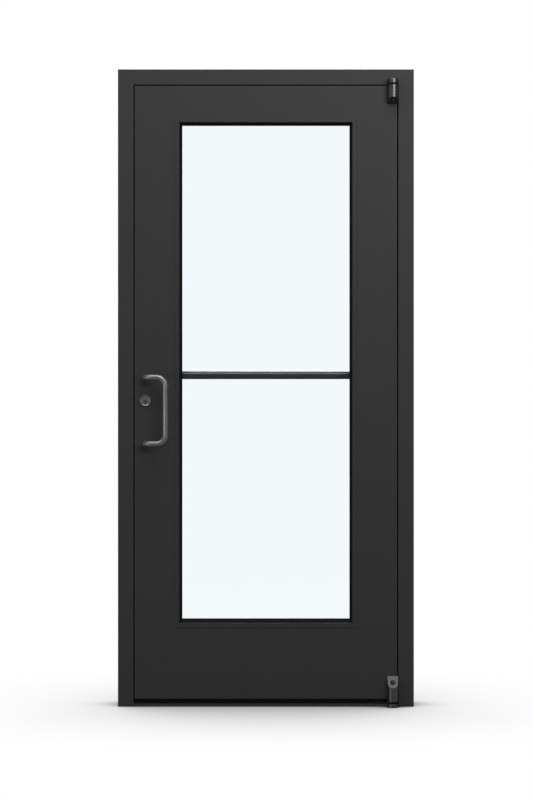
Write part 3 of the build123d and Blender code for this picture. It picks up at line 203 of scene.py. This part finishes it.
plug_low, plug_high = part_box("key_plug")
body_low, body_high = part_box("cylinder_body")
cylinder_plate = finished(
    "cylinder_plate", turned_face, (0.16, 0.16, 0.163), metallic=0.55,
    centre=(body_low + body_high) / 2, roughness=0.36,
)
dress(cylinder_plate, "cylinder_collar", "cylinder_body")
plug_plate = finished(
    "plug_plate", turned_face, (0.12, 0.12, 0.122), metallic=0.55,
    centre=(plug_low + plug_high) / 2, roughness=0.3,
)
dress(plug_plate, "key_plug")
edge_plate = finished(
    "edge_plate", powder_coat, (0.07, 0.07, 0.072), metallic=0.6, roughness=0.34,
    clouding=0.2, cloud_scale=30.0, peel_scale=1200.0, peel_height=0.03,
)
dress(edge_plate, "lock_faceplate", "strike_plate")

# Screws and bolts: black zinc on steel, slightly glossy, with a grain that differs
# from place to place.

screw_plate = finished(
    "screw_plate", powder_coat, (0.03, 0.03, 0.031), metallic=0.7, roughness=0.3,
    clouding=0.4, cloud_scale=160.0, peel_scale=1500.0, peel_height=0.05,
)
dress(
    screw_plate,
    "threshold_screws", "lite_screws", "top_pivot_screw", "bottom_pivot_screw", "pivot_door_screws",
    "pivot_frame_screws", "pull_handle_bolts", "lock_screws", "strike_screws",
)

# Threshold: a dark anodised aluminium extrusion, screwed down between the jambs. The
# die leaves fine lines along its length.

drawn_metal, drawn_in, drawn_out = texture_group(
    "drawn_metal",
    [
        ("Colour", "Color", (0.05, 0.05, 0.05, 1)),
        ("Stretch", "Vector", (1.0, 1.0, 1.0)),
        ("Line scale", "Float", 900.0),
        ("Line depth", "Float", 0.1),
        ("Contrast", "Float", 0.15),
        ("Roughness", "Float", 0.35),
    ],
)
line_roughness = 0.12
place = put(drawn_metal, "TexCoord").outputs["Object"]
along = put(drawn_metal, "VectorMath", {0: place, 1: drawn_in["Stretch"]}, operation="MULTIPLY").outputs[0]
lines = noise(drawn_metal, along, scale=drawn_in["Line scale"], detail=3.0)
centred = reckon(drawn_metal, "SUBTRACT", lines, 0.5)
tinted = shaded(drawn_metal, centred, amount=drawn_in["Contrast"], colour=drawn_in["Colour"])
matt = reckon(drawn_metal, "MULTIPLY_ADD", centred, line_roughness, drawn_in["Roughness"])
scored = bumped(drawn_metal, lines, strength=drawn_in["Line depth"], distance=0.0002)
give(drawn_metal, drawn_out, tinted, matt, scored)

threshold_metal = finished(
    "threshold_metal", drawn_metal, (0.05, 0.05, 0.051), metallic=0.6, roughness=0.42,
    stretch=(0.01, 1.0, 1.0), contrast=0.12, line_depth=0.004, line_scale=600.0,
)
dress(threshold_metal, "threshold")

# Inner pieces: sleeves, floor angles, plates, pins, studs and the lock's case and bolt
# are steel left bare, as rolled or ground. Bushings are bronze, and the core is board.

ground_steel = finished(
    "ground_steel", drawn_metal, (0.46, 0.46, 0.47), metallic=1.0, roughness=0.32,
    stretch=(1.0, 0.05, 1.0),
)
dress(
    ground_steel,
    "anchor_sleeves", "floor_clips", "head_reinforcement", "top_leaf_reinforcement",
    "bottom_leaf_reinforcement", "push_bar_backings", "push_bar_studs", "lock_case",
    "lock_reinforcement", "strike_box", "top_pivot_pin", "bottom_pivot_pin",
)
bolt_steel = finished(
    "bolt_steel", drawn_metal, (0.5, 0.5, 0.51), metallic=1.0, roughness=0.26,
    stretch=(0.03, 1.0, 1.0),
)
dress(bolt_steel, "deadbolt")
bronze = finished(
    "bronze", drawn_metal, (0.45, 0.27, 0.12), metallic=1.0, roughness=0.42,
    stretch=(1.0, 1.0, 0.2),
)
dress(bronze, "top_pivot_bushing", "bottom_pivot_bushing")
core_board = finished(
    "core_board", powder_coat, (0.42, 0.34, 0.22), roughness=0.85, clouding=0.3, peel_height=0.4,
)
dress(core_board, "leaf_core")

# Gaskets and seals: black extruded rubber wedges, bulb strips, a fin strip under the
# leaf and two blocks under the glass. Rubber is matte and picks up a little dust. The
# gaskets, fin strip and bulb strips are coloured darker than black rubber, a painted
# shade for the recess round the glass and the gaps under and round the leaf.

rubber_skin, rubber_in, rubber_out = texture_group(
    "rubber_skin",
    [
        ("Colour", "Color", (0.012, 0.012, 0.012, 1)),
        ("Dust", "Float", 0.1),
        ("Roughness", "Float", 0.6),
    ],
)
dust_colour = (0.12, 0.115, 0.11)
film_roughness = 0.2
place = put(rubber_skin, "TexCoord").outputs["Object"]
film = noise(rubber_skin, place, scale=18.0, detail=5.0)
dusted = reckon(rubber_skin, "MULTIPLY", film, rubber_in["Dust"])
first_colour, second_colour, mixed_colour = 6, 7, 2  # the Mix node's sockets for colours
dulled = put(
    rubber_skin, "Mix",
    {"Factor": dusted, first_colour: rubber_in["Colour"], second_colour: (*dust_colour, 1)},
    data_type="RGBA",
).outputs[mixed_colour]
matt = reckon(rubber_skin, "MULTIPLY_ADD", film, film_roughness, rubber_in["Roughness"])
pore = noise(rubber_skin, place, scale=2200.0, detail=1.0)
rough = bumped(rubber_skin, pore, strength=0.12, distance=0.0001)
give(rubber_skin, rubber_out, dulled, matt, rough)

# Darker than black rubber: painted shade in the glass recess and in the gaps under and round the leaf.
gasket_rubber = finished("gasket_rubber", rubber_skin, (0.003, 0.003, 0.003), specular=0.1, dust=0.006)
dress(gasket_rubber, "gasket_pull", "gasket_push", "setting_blocks")
fin_rubber = finished("fin_rubber", rubber_skin, (0.002, 0.002, 0.002), specular=0.1, dust=0.005)
dress(fin_rubber, "bottom_seal")
seal_rubber = finished("seal_rubber", rubber_skin, (0.008, 0.008, 0.008), specular=0.1, dust=0.05)
dress(seal_rubber, "seal_head", "seal_hinge", "seal_strike")

# Glass: one clear toughened sheet held between the gaskets, faintly cool in colour and
# faintly wavy. Light passes straight through it to the bar and the floor behind it.

glass_tint = (0.952, 0.984, 1.0)
pane_glass = bpy.data.materials.new("pane_glass")
pane_glass.use_nodes = True
pane_tree = pane_glass.node_tree
pane = pane_tree.nodes["Principled BSDF"]
pane.inputs["Base Color"].default_value = (*glass_tint, 1)
pane.inputs["Roughness"].default_value = 0.0
pane.inputs["IOR"].default_value = 1.5
pane.inputs["Transmission Weight"].default_value = 1.0
pane_place = put(pane_tree, "TexCoord").outputs["Object"]
roller_wave = noise(pane_tree, pane_place, scale=3.0, detail=1.0)
pane_wave = bumped(pane_tree, roller_wave, strength=0.01, distance=0.0005)
pane_tree.links.new(pane_wave, pane.inputs["Normal"])
clear_way = put(pane_tree, "BsdfTransparent", {"Color": (*glass_tint, 1)}).outputs["BSDF"]
ray = put(pane_tree, "LightPath").outputs
unseen = reckon(pane_tree, "MAXIMUM", ray["Is Shadow Ray"], ray["Is Diffuse Ray"])
passing = reckon(pane_tree, "MAXIMUM", unseen, ray["Is Glossy Ray"])
either = put(pane_tree, "MixShader", {0: passing, 1: pane.outputs["BSDF"], 2: clear_way}).outputs["Shader"]
pane_tree.links.new(either, pane_tree.nodes["Material Output"].inputs["Surface"])
dress(pane_glass, "glass_pane")

# Studio: a floor and a surround that are white to the camera, the floor carrying a painted
# shadow where the door stands over it, and soft lamps that leave the glass pane out, so
# that it mirrors none of them. Nothing here is part of the object.

floor_reach = 9.0
floor_grey = (0.2, 0.2, 0.2, 1)
shadow_reach = 1.0
shadow_depth = 1.46
shadow_power = 1.29
floor_corners = [(x * floor_reach, y * floor_reach, 0.0) for x, y in ((-1, -1), (1, -1), (1, 1), (-1, 1))]
floor_mesh = bpy.data.meshes.new("studio_floor")
floor_mesh.from_pydata(floor_corners, [], [(0, 1, 2, 3)])
studio_floor = bpy.data.objects.new("studio_floor", floor_mesh)
bpy.context.scene.collection.objects.link(studio_floor)
floor_finish = bpy.data.materials.new("studio_floor")
floor_finish.use_nodes = True
floor_tree = floor_finish.node_tree
floor_tree.nodes.remove(floor_tree.nodes["Principled BSDF"])
matte_floor = put(floor_tree, "BsdfDiffuse", {"Color": floor_grey}).outputs["BSDF"]
# Painted shadow: the floor's brightness to the camera falls where nearby parts hide its sky.
open_sky = put(floor_tree, "AmbientOcclusion", {"Distance": shadow_reach}, samples=16).outputs["AO"]
covered = reckon(floor_tree, "SUBTRACT", 1.0, open_sky)
deepened = reckon(floor_tree, "POWER", covered, shadow_power)
shade = reckon(floor_tree, "MULTIPLY_ADD", deepened, -shadow_depth, 1.0)
white = (1, 1, 1, 1)
floor_with_painted_shadow = put(floor_tree, "Emission", {"Color": white, "Strength": shade}).outputs["Emission"]
floor_ray = put(floor_tree, "LightPath").outputs
floor_seen = reckon(floor_tree, "MAXIMUM", floor_ray["Is Camera Ray"], floor_ray["Is Transmission Ray"])
floor_way = put(floor_tree, "MixShader", {0: floor_seen, 1: matte_floor, 2: floor_with_painted_shadow}).outputs["Shader"]
floor_tree.links.new(floor_way, floor_tree.nodes["Material Output"].inputs["Surface"])
floor_mesh.materials.append(floor_finish)

seen_strength = 1.0
lighting_strength = 0.2
mirrored_strength = 0.1
surround = bpy.data.worlds.new("surround")
surround.use_nodes = True
surround_tree = surround.node_tree
surround_tree.nodes.clear()
seen_way, lighting_way, mirrored_way = (
    put(surround_tree, "Background", {"Color": white, "Strength": strength}).outputs[0]
    for strength in (seen_strength, lighting_strength, mirrored_strength)
)
sky_ray = put(surround_tree, "LightPath").outputs
sky_seen = reckon(surround_tree, "MAXIMUM", sky_ray["Is Camera Ray"], sky_ray["Is Transmission Ray"])
not_seen = put(
    surround_tree, "MixShader", {0: sky_ray["Is Glossy Ray"], 1: lighting_way, 2: mirrored_way}
).outputs["Shader"]
sky = put(surround_tree, "MixShader", {0: sky_seen, 1: not_seen, 2: seen_way}).outputs["Shader"]
sky_out = put(surround_tree, "OutputWorld")
surround_tree.links.new(sky, sky_out.inputs["Surface"])
bpy.context.scene.world = surround

pane_left_out = bpy.data.collections.new("pane_left_out")
pane_left_out.objects.link(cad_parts["glass_pane"])
pane_left_out.collection_objects[0].light_linking.link_state = "EXCLUDE"


def softbox(name, place, target, width, height, power, mirrored=True):
    """A rectangular lamp that lights all but the pane, and shows in gloss alone, if mirrored."""
    lamp = bpy.data.lights.new(name, "AREA")
    lamp.shape = "RECTANGLE"
    lamp.size = width
    lamp.size_y = height
    lamp.energy = power
    holder = bpy.data.objects.new(name, lamp)
    holder.location = place
    holder.rotation_euler = (Vector(target) - Vector(place)).to_track_quat("-Z", "Y").to_euler()
    holder.visible_camera = False
    holder.visible_transmission = False
    holder.visible_glossy = mirrored
    holder.light_linking.receiver_collection = pane_left_out
    bpy.context.scene.collection.objects.link(holder)


softbox("key", (-2.6, -2.4, 5.4), (0, 0, 1.2), width=1.6, height=1.6, power=76)
softbox("front", (2.9, -5.4, 3.4), (0.3, 0, 1.8), width=3.8, height=0.9, power=128)
softbox("left", (-4.6, -3.6, 0.8), (0, 0, 0.9), width=3.0, height=1.5, power=54)
softbox("sky", (0.6, -2.4, 5.0), (0.2, 0, 1.0), width=3.0, height=3.0, power=118)
softbox("rear", (1.2, 4.4, 5.2), (0, 0, 1.1), width=3.4, height=2.0, power=360)
for side in (-1, 1):
    lamp_place = (5.0 * side, 1.6, 2.4)
    leaf_edge = (0.45 * side, 0, 1.0)
    softbox("side", lamp_place, leaf_edge, width=1.6, height=3.0, power=170, mirrored=False)

# Camera: level, straight in front of the door, at about the middle of its height.

photo_rows = 800
metres_per_row = 0.003454
camera_distance = 8.0
camera_side = 0.0021
camera_height = 1.0596
sensor = 36.0
camera_data = bpy.data.cameras.new("camera")
camera_data.sensor_width = sensor
camera_data.lens = sensor * camera_distance / (photo_rows * metres_per_row)
camera = bpy.data.objects.new("camera", camera_data)
camera.location = (camera_side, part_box("frame_head")[0].y - camera_distance, camera_height)
camera.rotation_euler = (math.radians(90), 0, 0)
bpy.context.scene.collection.objects.link(camera)
bpy.context.scene.camera = camera
bpy.context.scene.view_settings.view_transform = "Standard"
